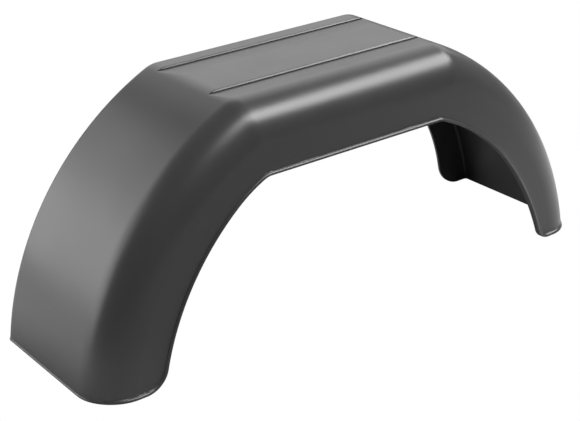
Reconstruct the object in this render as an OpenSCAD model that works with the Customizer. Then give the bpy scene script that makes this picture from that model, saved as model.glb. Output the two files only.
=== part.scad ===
// Mudguard for one trailer wheel, moulded in one piece from black plastic.
// X runs along the guard, Y across it from the outer wall to the inner wall, Z up.
// The origin is on the ground, under the middle of the guard. It stands on its two feet.

/* [Shell] */
// Width over the outer faces of the two side walls
guard_w = 220; // [160:1:300]
// Height from the feet to the flat top
guard_h = 300; // [270:1:360]
// Thickness of the moulded plastic
wall = 3.5; // [2:0.1:5]
// Outside radius of the round shoulder between the top and the outer wall
shoulder_r = 49; // [30:1:60]
// Outside radius of the tighter edge between the top and the inner wall
edge_r = 7; // [6:0.5:14]

/* [Side outline] */
// Length of the flat top, from one bend to the other
flat_len = 307; // [240:1:360]
// Angle through which each bend turns the top down into a leg
bend_turn = 24; // [15:0.5:30]
// Outside radius of the tread on each leg
leg_r = 385; // [350:1:430]
// Outside radius of each bend is this much more than the shoulder radius
bend_extra = 6; // [4:1:30]

/* [Wheel arch in the outer wall] */
// Depth of the outer wall at the middle, from the flat top to the arch edge
arch_depth = 83; // [70:1:110]
// Length of the level stretch at the middle of the arch edge
arch_flat = 207; // [160:1:280]
// Radius of the bend at each end of the level stretch
arch_bend_r = 125; // [60:1:150]
// Angle through which the arch bend turns
arch_bend_turn = 36; // [25:1:40]
// Radius of the upper part of the arch edge on a leg
arch_upper_r = 288; // [250:1:320]
// Angle at which that upper part ends
arch_upper_end = 55; // [48:1:65]
// Radius of the lower part of the arch edge on a leg
arch_lower_r = 540; // [460:1:600]
// Radius of the rounded corner at each foot of the outer wall
foot_r = 20; // [12:1:30]

/* [Wheel arch in the inner wall] */
// Depth of the inner wall at the middle, from the flat top to the arch edge
inner_depth = 73; // [60:1:110]
// Length of the level stretch at the middle of the inner arch edge
inner_flat = 320; // [260:1:360]
// Radius of the bend at each end of the inner level stretch
inner_bend_r = 46; // [40:1:80]
// Angle through which the inner arch bend turns
inner_bend_turn = 26; // [20:1:40]
// Radius of the inner arch edge on a leg
inner_leg_r = 258; // [240:1:290]
// Radius of the rounded corner at each foot of the inner wall
inner_foot_r = 38; // [15:1:42]

/* [Rim] */
// How far the rim stands out from the outer wall along the arch
rim_out = 4; // [2:0.5:7]
// How far it stands out from the tread at each foot
foot_out = 2.5; // [0.5:0.5:5]
// Height of the rim, measured up the wall from its edge
rim_h = 3.5; // [2:0.5:7]

/* [Steps in the top] */
// Height of each step, which faces the outer wall
step_h = 2; // [1:0.1:3]
// Distance over which the top rises again in front of a step
step_run = 30; // [15:1:60]
// Distance of the near step from the outer wall
step_near = 83; // [65:1:110]
// Distance of the far step from the outer wall
step_far = 192; // [130:1:205]

/* [Hidden] */
$fn = 96;
plastic = "#3b3b3c";
// Middle of the whole width, rim included, lies at Y = 0
outer_y = (rim_out - guard_w) / 2;
// Cutting shapes reach this far past the faces that they cut
past = 2;
// Legs and arch edges run on below the ground, where they are cut level
below = 60;
// Largest angle between the points of an arch edge
arch_step = 3;
// Longer and wider than the whole guard
long = 4 * guard_h;
// Depth of the middle of each bend below the flat top
bend_depth = shoulder_r + bend_extra;
// A bend stands this much past the flat top and the leg, so that it crosses both
bend_over = 0.4;

// Direction that leans from straight up towards +X by angle a
function ray(a) = [sin(a), cos(a)];

// Arcs that follow each other with one tangent. The first starts level at the point at.
// Each arc is its centre, its radius and the angles where it starts and ends.
function arc_chain(at, radii, ends, i = 0, from = 0) =
    i == len(radii) ? [] :
    let (centre = at - radii[i] * ray(from))
    concat([[centre, radii[i], from, ends[i]]],
        arc_chain(centre + radii[i] * ray(ends[i]), radii, ends, i + 1, ends[i]));

// Points along an arc that is moved out by grow, up to the angle last
function arc_points(arc, grow, last) =
    let (steps = ceil((last - arc[2]) / arch_step))
    [for (i = [0 : steps - 1])
        arc[0] + (arc[1] + grow) * ray(arc[2] + (last - arc[2]) * i / steps)];

leg_centre = [flat_len / 2, guard_h] - leg_r * ray(bend_turn);
bend_centre = [
    leg_centre.x + sqrt(pow(leg_r - bend_depth, 2) - pow(guard_h - bend_depth - leg_centre.y, 2)),
    guard_h - bend_depth
];
outer_arcs = arc_chain([arch_flat / 2, guard_h - arch_depth],
    [arch_bend_r, arch_upper_r, arch_lower_r], [arch_bend_turn, arch_upper_end, 90]);
inner_arcs = arc_chain([inner_flat / 2, guard_h - inner_depth],
    [inner_bend_r, inner_leg_r], [inner_bend_turn, 90]);

// Quarter of a disc about the origin, towards +X and towards the sign of side in Y
module quarter(r, side) {
    intersection() {
        circle(r);
        translate([0, side > 0 ? 0 : -2 * r]) square(2 * r);
    }
}

// Solid section across the guard: X is the distance out to the top, Y is across.
// It is smaller by inset, and at the inner wall by far_inset.
module section(r, inset, far_inset) {
    x1 = r - inset;
    y0 = inset;
    y1 = guard_w - far_inset;
    near_r = shoulder_r - inset;
    far_r = edge_r - far_inset;
    near_x = x1 - near_r;
    far_x = x1 - far_r;
    translate([0, y0]) square([near_x, y1 - y0]);
    translate([near_x, y0 + near_r]) square([far_x - near_x, y1 - y0 - near_r]);
    translate([far_x, y0 + near_r]) square([far_r, y1 - far_r - y0 - near_r]);
    translate([near_x, y0 + near_r]) quarter(near_r, -1);
    translate([far_x, y1 - far_r]) quarter(far_r, 1);
}

module both_legs() {
    children();
    mirror([1, 0, 0]) children();
}

// Disc in the side view, with the section across the guard as its rim
module disc(centre, r, inset, far_inset) {
    translate([centre.x, 0, centre.y])
        rotate([-90, 0, 0])
            rotate_extrude() section(r, inset, far_inset);
}

// What the bend takes off the crease between the flat top and a leg
module crease(inset, far_inset) {
    reach = bend_depth + 6 * bend_extra;
    difference() {
        across(-past, guard_w + past) polygon([
            bend_centre,
            bend_centre + reach * ray(-bend_turn / 2),
            bend_centre + reach * ray(bend_turn / 2),
            bend_centre + reach * ray(3 * bend_turn / 2)
        ]);
        disc(bend_centre, bend_depth + bend_over, inset, far_inset);
    }
}

// Bar whose upper side is the flat top
module top_bar(inset, far_inset) {
    translate([0, 0, -below])
        rotate([0, -90, 0])
            linear_extrude(long, center = true)
                section(guard_h + below, inset, far_inset);
}

// Solid body under the whole top and both legs
module body(inset, far_inset) {
    both_legs() difference() {
        intersection() {
            top_bar(inset, far_inset);
            disc(leg_centre, leg_r, inset, far_inset);
            translate([0, -guard_w, -long]) cube([long, 3 * guard_w, 2 * long]);
        }
        crease(inset, far_inset);
    }
}

// What the two steps take away from a flat top that lies lower by drop
module steps(drop) {
    rise = past / step_h;
    for (y = [step_near + drop, step_far + drop])
        rotate([90, 0, 90])
            linear_extrude(long, center = true)
                polygon([
                    [y, guard_h - drop - step_h],
                    [y, guard_h - drop + past],
                    [y - step_run * (1 + rise), guard_h - drop + past]
                ]);
}

// Stands an area of the side view up, from y_from to y_to across the guard
module across(y_from, y_to) {
    translate([0, y_to, 0])
        rotate([90, 0, 0])
            linear_extrude(y_to - y_from) children();
}

// Area under an arch edge, with the round lower corner of the wall beside it.
// It is larger all round by grow.
module arch_area(arcs, corner_r, grow) {
    last = arcs[len(arcs) - 1];
    corner = [
        last[0].x + sqrt(pow(last[1] + corner_r, 2) - pow(corner_r - last[0].y, 2)),
        corner_r
    ];
    lean = atan2(corner.x - last[0].x, corner.y - last[0].y);
    n = ceil(lean / (3 * arch_step));
    half = concat(
        [for (arc = arcs) each arc_points(arc, grow, min(arc[3], lean))],
        [for (i = [0 : n]) corner - (corner_r - grow) * ray(lean * (1 - i / n))],
        [[corner.x, -below - past]]);
    polygon(concat(half, [for (i = [len(half) - 1 : -1 : 0]) [-half[i].x, half[i].y]]));
}

// Rim round the end of each leg, on the shoulder and the tread
module foot_rim() {
    both_legs() intersection() {
        disc(leg_centre, leg_r, -foot_out, 0);
        translate([0, -guard_w, -past]) cube([long, 3 * guard_w, rim_h + past]);
    }
}

module mudguard_shell() {
    color(plastic) translate([0, outer_y, 0])
        difference() {
            union() {
                difference() {
                    body(0, 0);
                    steps(0);
                }
                foot_rim();
                across(-rim_out, wall / 2) arch_area(outer_arcs, foot_r, rim_h);
            }
            difference() {
                body(wall, wall);
                steps(wall);
            }
            across(-rim_out - past, guard_w / 2) arch_area(outer_arcs, foot_r, 0);
            across(guard_w / 2, guard_w + past) arch_area(inner_arcs, inner_foot_r, 0);
            translate([-long, -guard_w, -long]) cube([2 * long, 3 * guard_w, long]);
        }
}

mudguard_shell();
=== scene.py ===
"""The looks of a trailer mudguard, moulded in one piece from black plastic.

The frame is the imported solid. One piece is built here: the moulded shell with its soft bends,
rounded steps and rolled rim. X runs along the guard, Y across it towards the inner wall, Z up.
"""

import math

import bpy
import numpy as np
from mathutils import Matrix, Vector


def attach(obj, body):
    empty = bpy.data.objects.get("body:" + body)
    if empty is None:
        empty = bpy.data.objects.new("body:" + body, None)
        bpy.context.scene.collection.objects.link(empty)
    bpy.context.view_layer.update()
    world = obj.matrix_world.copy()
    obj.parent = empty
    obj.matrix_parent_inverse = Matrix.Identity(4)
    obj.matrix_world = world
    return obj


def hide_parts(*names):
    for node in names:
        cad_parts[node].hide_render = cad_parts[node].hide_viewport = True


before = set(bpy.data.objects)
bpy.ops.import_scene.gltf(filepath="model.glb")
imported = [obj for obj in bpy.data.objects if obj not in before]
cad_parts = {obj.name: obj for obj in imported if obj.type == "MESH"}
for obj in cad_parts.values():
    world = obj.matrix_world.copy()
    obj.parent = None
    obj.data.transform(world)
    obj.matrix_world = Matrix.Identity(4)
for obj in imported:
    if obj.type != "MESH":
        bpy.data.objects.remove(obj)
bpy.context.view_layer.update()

MM = 0.001

# Sizes of the guard in millimetres. The side view is X and Z. Depth is measured inwards from
# the tread, and places across the guard are measured from the outer wall.
GUARD_W = 220.0
GUARD_H = 300.0
WALL = 3.5
# Radius of the round shoulder at the outer wall, and of the tight edge at the inner wall
SHOULDER_R = 49.0
EDGE_R = 7.0
# The tread of a leg is an arc about (LEG_X, LEG_Z). It would meet a flat top of this length
# without a bend, turned down by this angle.
LEG_R = 385.0
FLAT_LEN = 307.0
LEG_TURN = math.radians(24)
LEG_X = FLAT_LEN / 2 - LEG_R * math.sin(LEG_TURN)
LEG_Z = GUARD_H - LEG_R * math.cos(LEG_TURN)
# Radius of the bend at the tread, and how much it loses with each millimetre of depth
BEND_R = 40.0
BEND_TIGHTER = 0.6

# The two steps in the top: their places, height, and the distance over which the top rises
# again in front of them, along this power of the distance that is left
STEPS_Y = (83.0, 192.0)
STEP_H = 2.7
STEP_RUN = 36.0
STEP_POWER = 1.25
# The nose behind a step's upright face: width, slope, and the place and the size of its bend
NOSE_W = 2.5
NOSE_TURN = math.radians(40)
NOSE_BEND_AT = 0.5
NOSE_BEND = 0.3
# Where the steps run out into the bend, the rounding grows by this much with each millimetre
# that the bend has fallen, up to this width
STEP_BLEND_GROWTH = 4.0
STEP_BLEND = 0.5

# The rim: how far it stands out and how high it is, along the arch and round the foot
RIM_OUT = 4.0
RIM_H = 4.4
FOOT_OUT = 0.9
FOOT_H = 2.6
# Where its crest lies, and how far its hollow stands out and reaches, as shares of the rim
CREST = 0.25
HOLLOW_OUT = 0.2
HOLLOW_REACH = 0.4
# The rim of the foot fades out over this distance down the inner wall
RIM_FADE = 6.0
# Y of the outer wall, where the middle of the whole width with its rim lies at zero
OUTER_Y = (RIM_OUT - GUARD_W) / 2

# Half an arch edge: its depth at the middle, the whole length of its level stretch, the radii
# of its arcs, the angles in degrees at which all but the last arc end, and the radius of the
# corner at the foot. The two halves of the outer edge differ a little.
OUTER_LEFT = {"depth": 82, "level": 272.4, "radii": (20, 173.2, 319.3), "ends": (25, 39.7),
              "corner_r": 32.4}
OUTER_RIGHT = {"depth": 82, "level": 236, "radii": (20, 273, 391.9), "ends": (22, 52.1),
               "corner_r": 20}
INNER_ARCH = {"depth": 73, "level": 320, "radii": (46, 258), "ends": (26,), "corner_r": 38}
# Rows that lean further than this run straight to the middle of the leg's arc
RADIAL_FROM = math.radians(40)

# Spacing of the mesh in millimetres, closer where the form is narrow. A hard edge lies between
# two points that are this far from it.
HARD = 0.02
# Rows along one side, as places t: the flat top ends at 1, and the bend at 2
TOP_ROWS = (*np.linspace(0, 0.95, 20), 0.97, 0.985)
BEND_ROWS = (*np.linspace(1, 2, 13), 2.004, 2.01)
LEG_START = 2.02
LEG_ROWS = 72
# Rows above the ground, and columns up the outer and the inner wall from the arch edge
ROWS_LOW = (0, 0.03, 0.12, 0.3, 0.6, 1.0, 1.4, 1.9, 2.3, 2.5, FOOT_H - HARD, FOOT_H + HARD, 2.8, 3.3, 3.8,
            4.1, 4.3, RIM_H - HARD, RIM_H + HARD, 4.7, 5.4, 6.5, 8.5, 10.5, 13, 15.5, 18.5, 22)
OUTER_LOW = (0, 0.03, 0.12, 0.3, 0.6, 1.1, 1.6, 2.2, 2.8, 3.4, 3.8, 4.1, 4.3, RIM_H - HARD, RIM_H + HARD,
             4.7, 5.4, 7, 9, 12)
INNER_LOW = (0, 1, 3, 7)
# Where a wall is lower than this, those columns are drawn together
WALL_LOW = 16.0
# Even columns on the rest of a wall, and columns round the shoulder and the tight edge
WALL_COLUMNS = 9
SHOULDER_COLUMNS = 22
EDGE_COLUMNS = 9
# Columns before and after each step, between the two and past them
STEP_COLUMNS = (-32, -29, -26, -21, -16, -11, -7, -4, -2, -0.8, -0.25, -HARD, HARD, 0.3, 0.8, 1.2, 1.5, 1.7,
                1.85, 2.0, 2.15, 2.3, 2.5, 3.2, 4.5, 7.0)
COLUMNS_BETWEEN = (94, 102, 112, 124, 136, 148, 155)
COLUMNS_PAST = (203, 209)
# Points on the level stretch of an arch edge, and on each of its arcs
LEVEL_POINTS = 12
ARC_POINTS = 60
# Edges sharper than this aren't shaded smooth
SHARP = math.radians(40)

# The plastic: width and depth of its grain in millimetres, width of the clouds in its gloss and
# colour, and the two values between which roughness and colour vary
GRAIN_W = 0.7
GRAIN_DEEP = 0.02
CLOUD_W = 60.0
PLASTIC_ROUGHNESS = (0.30, 0.34)
PLASTIC_COLOURS = ("#343434", "#383838")
PLASTIC_IOR = 1.49

# The studio, in metres and degrees. The floor is this pale, and round pools of light are painted onto it as
# paler patches: their place, the radii between which they fade, and how pale they are.
FLOOR_HALF = 6.0
FLOOR_Z = -0.0005
FLOOR_PALE = 0.3
FLOOR_LIGHT_POOLS = (((-0.75, 0.4, 0), 0.25, 0.9, 0.95), ((0.65, -0.05, 0), 0.1, 0.7, 0.75))
SKY = 0.2
# Softboxes: direction from +X towards +Y, and up, roll, half width, half height, and radiance
SOFTBOX_FAR = 5.0
SOFTBOXES = {
    "key": (-20, 49, -25, 19, 10, 11),
    "key_wing": (-72, 63, -8, 18, 8, 10.5),
    "panel_left_low": (134, 4, -5, 26, 17, 3.6),
    "panel_left_high": (130, 29, -5, 26, 9, 2.2),
    "panel_back": (52, 31, 0, 32, 18, 1.35),
}
# The camera: place, turn from +Y towards +X, tilt down and roll, then the length of its lens and
# the width of its sensor in millimetres
CAMERA_AT = (-0.98671, -1.30937, 0.84308)
CAMERA_TURN = 36.116
CAMERA_TILT = 24.468
CAMERA_ROLL = -1.929
CAMERA_LENS = 88.13
SENSOR_W = 36.0

WHITE = (1, 1, 1, 1)


def smoothstep(none, full, x):
    """0 at none and before it, 1 at full and past it, and a cubic with level ends in between.
    none may be more than full."""
    t = np.clip((x - none) / (full - none), 0, 1)
    return t * t * (3 - 2 * t)


def smooth_min(a, b, width):
    """The smaller of a and b, joined by a parabola where they differ by less than width."""
    h = np.clip(0.5 + 0.5 * (b - a) / width, 0, 1)
    return b + (a - b) * h - width * h * (1 - h)


def outline(depth, t):
    """Point of the side outline at that depth. It is level for t from 0 to 1, turns from 1 to 2
    on an arc that touches the level line and the leg, and follows the leg from 2 to 3, down to
    the ground. The bend gets tighter with depth. Returns x and z."""
    depth, t = np.broadcast_arrays(depth, t)
    r = LEG_R - depth
    bend_r = BEND_R - BEND_TIGHTER * depth
    bend_z = GUARD_H - depth - bend_r
    bend_x = LEG_X + np.sqrt((r - bend_r) ** 2 - (bend_z - LEG_Z) ** 2)
    start = np.arctan2(bend_x - LEG_X, bend_z - LEG_Z)
    foot = np.arccos(-LEG_Z / r)
    a = np.where(t < 2, np.clip(t - 1, 0, 1) * start, start + (t - 2) * (foot - start))
    x = np.where(t < 1, t * bend_x, np.where(t < 2, bend_x + bend_r * np.sin(a), LEG_X + r * np.sin(a)))
    z = np.where(t < 1, GUARD_H - depth,
                 np.where(t < 2, bend_z + bend_r * np.cos(a), LEG_Z + r * np.cos(a)))
    return x, z


def arc(x, z, r, start, end):
    """Points x + r sin a and z + r cos a for angles a from start to end. A negative r gives the
    points opposite to those angles."""
    a = np.linspace(start, end, ARC_POINTS)
    return np.stack([x + r * np.sin(a), z + r * np.cos(a)], 1)


def arch_edge(depth, level, radii, ends, corner_r):
    """Half of an arch edge in the side view: level, then arcs that follow each other with one
    tangent, then the round corner, which touches the last arc and ends level on the ground.
    Returns the edge and the corner as points."""
    x, z, start = level / 2, GUARD_H - depth, 0.0
    parts = [np.stack([np.linspace(0, x, LEVEL_POINTS), np.full(LEVEL_POINTS, z)], 1)]
    for i, r in enumerate(radii):
        centre_x, centre_z = x - r * math.sin(start), z - r * math.cos(start)
        if i < len(ends):
            end = math.radians(ends[i])
        else:
            corner_x = centre_x + math.sqrt((r + corner_r) ** 2 - (corner_r - centre_z) ** 2)
            end = math.atan2(corner_x - centre_x, corner_r - centre_z)
        parts.append(arc(centre_x, centre_z, r, start, end)[1:])
        x, z = parts[-1][-1]
        start = end
    return np.concatenate(parts), arc(corner_x, corner_r, -corner_r, end, 0)


def travel(points):
    """Distance along a polyline from its first point to each of its points."""
    return np.concatenate([[0], np.cumsum(np.hypot(*np.diff(points, axis=0).T))])


def along(points, s):
    """Points at the distances s along a polyline."""
    return np.stack([np.interp(s, travel(points), points[:, i]) for i in (0, 1)], 1)


def lean_from_leg(points):
    """Angle from upright of the lines from the middle of the leg's arc to the points."""
    return np.arctan2(points[:, 0] - LEG_X, points[:, 1] - LEG_Z)


def edge_rows(top, edge, corner):
    """One point of the arch edge for each row of the shell, given the row's upper end on the
    outline. Rows on a leg meet the edge on a line to the middle of the leg, the last rows are
    spread evenly round the lower corner, and those above are spread in proportion."""
    lean, edge_lean = lean_from_leg(top), lean_from_leg(edge)
    first = int(np.argmax(lean > RADIAL_FROM))
    last = int(np.argmax(lean > edge_lean[-1]))
    s = np.interp(lean, edge_lean, travel(edge))
    s[:first] = s[first] * travel(top)[:first] / travel(top)[first]
    points = along(edge, s)
    in_corner = len(top) - last
    points[last:] = along(corner, travel(corner)[-1] * np.arange(1, in_corner + 1) / in_corner)
    return points


def distance(points, line):
    """Distance of each point in the side view from a polyline: the least over its stretches,
    to the nearest place between the two ends of each."""
    stretch = line[1:] - line[:-1]
    away = points[:, None, :] - line[:-1]
    share = np.clip((away * stretch).sum(2) / (stretch ** 2).sum(1), 0, 1)
    return np.sqrt(((away - share[..., None] * stretch) ** 2).sum(2).min(1))


def bead(d, out, high):
    """Height of the rolled rim over the wall at distance d from its edge. It swells to its crest
    as a quarter of an oval, falls as a longer quarter, and ends in a small hollow, which fades
    exponentially into the wall."""
    crest = CREST * high
    u = np.clip(np.where(d < crest, (crest - d) / crest, (d - crest) / (high - crest)), 0, 1)
    oval = out * np.sqrt(1 - u ** 2)
    hollow = HOLLOW_OUT * out * np.exp(-np.clip(d - high, 0, None) / (HOLLOW_REACH * high))
    return np.maximum(oval, hollow * (d >= crest))


def step_drop(y):
    """How far the top lies lower at y. Behind each step a hyperbola takes it from level to the
    slope of the nose, which ends in the step's upright face. In front of the face it rises
    again along a power of the distance that is left."""
    drop = np.zeros_like(y)
    for at in STEPS_Y:
        front = STEP_H * np.clip(1 - (at - y) / STEP_RUN, 0, 1) ** STEP_POWER
        over = np.clip(at + NOSE_W - y, 0, NOSE_W)
        bend = np.hypot(over - NOSE_BEND_AT, NOSE_BEND) - math.hypot(NOSE_BEND_AT, NOSE_BEND)
        drop += np.where(y < at, front, math.tan(NOSE_TURN) / 2 * (over + bend))
    return drop


def rows_along():
    """Row positions t on one side: even along the top, the bend and the leg, closer where one
    of them meets the next, and closest at the ground, where the rim is."""
    leg_length = LEG_R * (math.acos(-LEG_Z / LEG_R) - LEG_TURN)
    ground = 3 - np.array(ROWS_LOW[::-1]) / leg_length
    return np.concatenate([TOP_ROWS, BEND_ROWS, np.linspace(LEG_START, ground[0], LEG_ROWS), ground[1:]])


def across_top(inset):
    """The profile of the top across the guard: a quarter circle round the shoulder, the flat
    part, and a quarter circle round the tight edge. An inset makes both radii less. Returns the
    depth, the place across, and the lean of the surface, which is a quarter turn at the outer
    wall and falls to nothing over the shoulder."""
    shoulder = np.linspace(math.pi / 2, 0, SHOULDER_COLUMNS)
    edge = np.linspace(0, math.pi / 2, EDGE_COLUMNS)
    near, far = (np.array(STEP_COLUMNS) + at for at in STEPS_Y)
    flat = np.concatenate([near, COLUMNS_BETWEEN, far, COLUMNS_PAST])
    depth = np.concatenate([SHOULDER_R - (SHOULDER_R - inset) * np.cos(shoulder), np.full(len(flat), inset),
                            EDGE_R - (EDGE_R - inset) * np.cos(edge)])
    y = np.concatenate([SHOULDER_R - (SHOULDER_R - inset) * np.sin(shoulder), flat,
                        GUARD_W - EDGE_R + (EDGE_R - inset) * np.sin(edge)])
    lean = np.concatenate([shoulder, np.zeros(len(y) - len(shoulder))])
    return depth, y, lean


def with_steps(z, depth, y, inset):
    """Heights z of the top, lowered to the two steps. The steps run out where the bend and the
    leg lie lower than they do, with a rounding that grows from nothing on the flat part."""
    level = GUARD_H - inset - step_drop(y - inset)
    width = np.clip(STEP_BLEND_GROWTH * (GUARD_H - inset - z), 1e-6, STEP_BLEND)
    on_flat = np.abs(depth - inset) < 1e-6
    return np.where(on_flat, smooth_min(z, level, width), z)


def wall_grid(low, high, close):
    """Points of one wall: in every row from low on the arch edge to high on the outline, first
    at the distances close and then in even steps. In short rows close is drawn together."""
    length = np.hypot(*(high - low).T)[:, None]
    close = np.array(close) * np.minimum(1, length / WALL_LOW)
    even = close[:, -1:] + np.arange(WALL_COLUMNS) / WALL_COLUMNS * (length - close[:, -1:])
    s = np.concatenate([close[:, :-1], even], 1)
    return low[:, None, :] + (s / length)[..., None] * (high - low)[:, None, :]


def add_rim(points, edge, first, lean):
    """Raises the rim on the outer skin, whose top starts at the column first. Along the arch it
    is a bead on the wall, at its distance from the edge. Round the foot it is a bead square to
    the surface, at its height above the ground. It gets lower while the lean falls from 90 to 30
    degrees, and fades out on the inner wall."""
    last = first + len(lean)
    wall, top, inner = points[:, :first], points[:, first:last], points[:, last:]
    down = np.hypot(inner[..., 0] - top[:, -1:, 0], inner[..., 2] - top[:, -1:, 2])
    inner[..., 0] += smoothstep(RIM_FADE, 0, down) * bead(inner[..., 2], FOOT_OUT, FOOT_H)
    low = smoothstep(math.radians(90), math.radians(30), lean)
    out = (1 - low) * bead(top[..., 2], RIM_OUT, RIM_H) + low * bead(top[..., 2], FOOT_OUT, FOOT_H)
    top[..., 0] += out * np.cos(lean)
    top[..., 1] -= out * np.sin(lean)
    from_edge = distance(wall[..., ::2].reshape(-1, 2), edge).reshape(wall.shape[:2])
    wall[..., 1] -= bead(from_edge, RIM_OUT, RIM_H)


def half_skin(inset, outer_arch):
    """Half of one side of the shell as a grid of points. Rows run from the middle of the guard
    to a foot. Columns run up the outer wall from its arch edge, over the top and down the inner
    wall. The outer skin, which has no inset, also carries the rim."""
    t = rows_along()
    depth, top_y, lean = across_top(inset)
    x, z = outline(depth, t[:, None])
    top = np.stack([x, with_steps(z, depth, top_y, inset)], 2)

    outer_high, inner_high = (np.stack(outline(at, t), 1) for at in (SHOULDER_R, EDGE_R))
    edge, corner = arch_edge(**outer_arch)
    outer = wall_grid(edge_rows(outer_high, edge, corner), outer_high, OUTER_LOW)
    inner = wall_grid(edge_rows(inner_high, *arch_edge(**INNER_ARCH)), inner_high, INNER_LOW)

    side = np.concatenate([outer, top, inner[:, ::-1]], 1)
    y = np.concatenate([np.full(outer.shape[1], inset), top_y, np.full(inner.shape[1], GUARD_W - inset)])
    points = np.stack([side[..., 0], np.broadcast_to(y, side.shape[:2]), side[..., 1]], 2)
    if inset == 0:
        add_rim(points, np.concatenate([edge, corner[1:], outer_high[-1:]]), outer.shape[1], lean)
    points[..., 1] += OUTER_Y
    return points


def skin(inset):
    """One side of the shell as a grid of points, rows from the left foot to the right foot."""
    left = half_skin(inset, OUTER_LEFT)[:0:-1] * [-1, 1, 1]
    return np.concatenate([left, half_skin(inset, OUTER_RIGHT)])


def closed_shell(name, outside, inside):
    """A mesh from two grids of the same shape, joined along all four sides of the grids. The
    faces of the inside are turned round, so that all point out of the plastic."""
    rows, cols = outside.shape[:2]
    count = rows * cols
    index = np.arange(count).reshape(rows, cols)
    quads = np.stack([index[:-1, :-1], index[1:, :-1], index[1:, 1:], index[:-1, 1:]], 2).reshape(-1, 4)
    border = np.concatenate([index[:-1, 0], index[-1, :-1], index[:0:-1, -1], index[0, :0:-1]])
    after = np.roll(border, -1)
    edge = np.stack([after, border, border + count, after + count], 1)
    faces = np.concatenate([quads, quads[:, ::-1] + count, edge])
    points = np.concatenate([outside.reshape(-1, 3), inside.reshape(-1, 3)]) * MM
    mesh = bpy.data.meshes.new(name)
    mesh.from_pydata(points.tolist(), [], faces.tolist())
    mesh.polygons.foreach_set("use_smooth", np.ones(len(faces), bool))
    mesh.update()
    mesh.set_sharp_from_angle(angle=SHARP)
    obj = bpy.data.objects.new(name, mesh)
    bpy.context.scene.collection.objects.link(obj)
    return obj


def colour(code):
    """Linear colour of an sRGB hex code."""
    channels = [int(code[i:i + 2], 16) / 255 for i in (1, 3, 5)]
    return [c / 12.92 if c <= 0.04045 else ((c + 0.055) / 1.055) ** 2.4 for c in channels] + [1.0]


def node(tree, kind, inputs=None, **settings):
    """Adds a node. Each value in inputs is a constant, or an output to link from."""
    made = tree.nodes.new(kind)
    for key, value in settings.items():
        setattr(made, key, value)
    for key, value in (inputs or {}).items():
        if isinstance(value, bpy.types.NodeSocket):
            tree.links.new(value, made.inputs[key])
        else:
            made.inputs[key].default_value = value
    return made


def new_material(name):
    """An empty material, with its node tree."""
    material = bpy.data.materials.new(name)
    material.use_nodes = True
    material.node_tree.nodes.clear()
    return material, material.node_tree


def satin_plastic():
    """Black polypropylene, injection moulded in a fine-grained tool. The grain softens the
    highlights, and the gloss varies gently over some centimetres. Real grain is finer. It is
    drawn wider because otherwise it wouldn't show in the render. Most of the noise of the
    clouds lies between 0.3 and 0.7."""
    material, tree = new_material("black_polypropylene_moulded_satin")
    place = node(tree, "ShaderNodeTexCoord").outputs["Object"]
    grain = node(tree, "ShaderNodeTexNoise", {
        "Vector": place, "Scale": 1 / (GRAIN_W * MM), "Detail": 2.0}).outputs["Fac"]
    cloud = node(tree, "ShaderNodeTexNoise", {
        "Vector": place, "Scale": 1 / (CLOUD_W * MM), "Detail": 3.0}).outputs["Fac"]
    gloss = node(tree, "ShaderNodeMapRange", {
        "Value": cloud, "From Min": 0.3, "From Max": 0.7,
        "To Min": PLASTIC_ROUGHNESS[0], "To Max": PLASTIC_ROUGHNESS[1]}).outputs["Result"]
    bump = node(tree, "ShaderNodeBump", {
        "Height": grain, "Strength": 0.25, "Distance": GRAIN_DEEP * MM}).outputs["Normal"]
    black = node(tree, "ShaderNodeMix", {
        "Factor": cloud, "A": colour(PLASTIC_COLOURS[0]),
        "B": colour(PLASTIC_COLOURS[1])}, data_type="RGBA").outputs["Result"]
    shader = node(tree, "ShaderNodeBsdfPrincipled", {
        "Base Color": black, "Roughness": gloss, "IOR": PLASTIC_IOR, "Normal": bump}).outputs["BSDF"]
    node(tree, "ShaderNodeOutputMaterial", {"Surface": shader})
    return material


def studio_floor():
    """Matt paper that the camera sees as plain white. It lights the guard as grey paper does, with pools of
    light painted onto it as paler patches behind the left foot and beside the right one."""
    material, tree = new_material("studio_paper_with_painted_light_pools")
    place = node(tree, "ShaderNodeTexCoord").outputs["Object"]
    pale = FLOOR_PALE
    # Each patch is a painted pool of light: the floor's colour is paler there.
    for at, near, far, most in FLOOR_LIGHT_POOLS:
        away = node(tree, "ShaderNodeVectorMath", {0: place, 1: at}, operation="DISTANCE").outputs["Value"]
        light_pool = node(tree, "ShaderNodeMapRange", {
            "Value": away, "From Min": near, "From Max": far, "To Min": most,
            "To Max": FLOOR_PALE}, interpolation_type="SMOOTHSTEP").outputs["Result"]
        pale = node(tree, "ShaderNodeMath", {0: light_pool, 1: pale}, operation="MAXIMUM").outputs["Value"]
    camera_ray = node(tree, "ShaderNodeLightPath").outputs["Is Camera Ray"]
    white = node(tree, "ShaderNodeEmission", {"Color": WHITE, "Strength": 1.0}).outputs["Emission"]
    matt = node(tree, "ShaderNodeBsdfDiffuse", {"Color": pale}).outputs["BSDF"]
    either = node(tree, "ShaderNodeMixShader", {0: camera_ray, 1: matt, 2: white}).outputs["Shader"]
    node(tree, "ShaderNodeOutputMaterial", {"Surface": either})
    corners = [(x * FLOOR_HALF, y * FLOOR_HALF, FLOOR_Z) for x, y in ((-1, -1), (1, -1), (1, 1), (-1, 1))]
    mesh = bpy.data.meshes.new("floor")
    mesh.from_pydata(corners, [], [(0, 1, 2, 3)])
    mesh.materials.append(material)
    obj = bpy.data.objects.new("floor", mesh)
    bpy.context.scene.collection.objects.link(obj)


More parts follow.
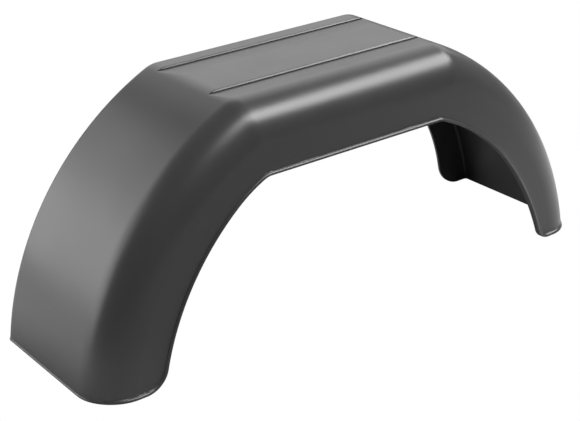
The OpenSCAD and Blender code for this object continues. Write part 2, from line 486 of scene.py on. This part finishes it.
def studio_world():
    """A world that the camera sees as plain white, and that lights the guard as a dim sky."""
    world = bpy.data.worlds.new("studio")
    bpy.context.scene.world = world
    world.use_nodes = True
    tree = world.node_tree
    tree.nodes.clear()
    camera_ray = node(tree, "ShaderNodeLightPath").outputs["Is Camera Ray"]
    sky = node(tree, "ShaderNodeBackground", {"Color": WHITE, "Strength": SKY}).outputs["Background"]
    white = node(tree, "ShaderNodeBackground", {"Color": WHITE, "Strength": 1.0}).outputs["Background"]
    either = node(tree, "ShaderNodeMixShader", {0: camera_ray, 1: sky, 2: white}).outputs["Shader"]
    node(tree, "ShaderNodeOutputWorld", {"Surface": either})


def softbox(name, azimuth, elevation, roll, wide, high, radiance):
    """A rectangular area light that faces the guard from that direction. wide and high are half
    its width and height as angles seen from the guard. Its energy is radiance times pi times
    its area."""
    azimuth, elevation, roll = (math.radians(v) for v in (azimuth, elevation, roll))
    out = Vector((math.cos(elevation) * math.cos(azimuth), math.cos(elevation) * math.sin(azimuth),
                  math.sin(elevation)))
    level = Vector((-math.sin(azimuth), math.cos(azimuth), 0))
    up = out.cross(level)
    side = math.cos(roll) * level + math.sin(roll) * up
    upright = math.cos(roll) * up - math.sin(roll) * level
    lamp = bpy.data.lights.new(name, "AREA")
    lamp.shape = "RECTANGLE"
    lamp.size = 2 * SOFTBOX_FAR * math.tan(math.radians(wide))
    lamp.size_y = 2 * SOFTBOX_FAR * math.tan(math.radians(high))
    lamp.energy = radiance * math.pi * lamp.size * lamp.size_y
    obj = bpy.data.objects.new(name, lamp)
    axes = Matrix((side, upright, out)).transposed().to_4x4()
    obj.matrix_world = Matrix.Translation(SOFTBOX_FAR * out) @ axes
    obj.visible_camera = False
    bpy.context.scene.collection.objects.link(obj)


def camera():
    """The photo's view, from the left and above with a long lens."""
    turn, tilt, roll = (math.radians(v) for v in (CAMERA_TURN, CAMERA_TILT, CAMERA_ROLL))
    ahead = Vector((math.cos(tilt) * math.sin(turn), math.cos(tilt) * math.cos(turn), -math.sin(tilt)))
    level = Vector((math.cos(turn), -math.sin(turn), 0))
    up = level.cross(ahead)
    side = math.cos(roll) * level + math.sin(roll) * up
    upright = math.cos(roll) * up - math.sin(roll) * level
    data = bpy.data.cameras.new("camera")
    data.sensor_width = SENSOR_W
    data.lens = CAMERA_LENS
    obj = bpy.data.objects.new("camera", data)
    axes = Matrix((side, upright, -ahead)).transposed().to_4x4()
    obj.matrix_world = Matrix.Translation(CAMERA_AT) @ axes
    bpy.context.scene.collection.objects.link(obj)
    bpy.context.scene.camera = obj


shell = closed_shell("shell", skin(0.0), skin(WALL))
shell.data.materials.append(satin_plastic())
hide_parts("mudguard_shell")
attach(shell, "root")

studio_floor()
studio_world()
for box_name, box in SOFTBOXES.items():
    softbox(box_name, *box)
camera()
bpy.context.scene.view_settings.view_transform = "Standard"
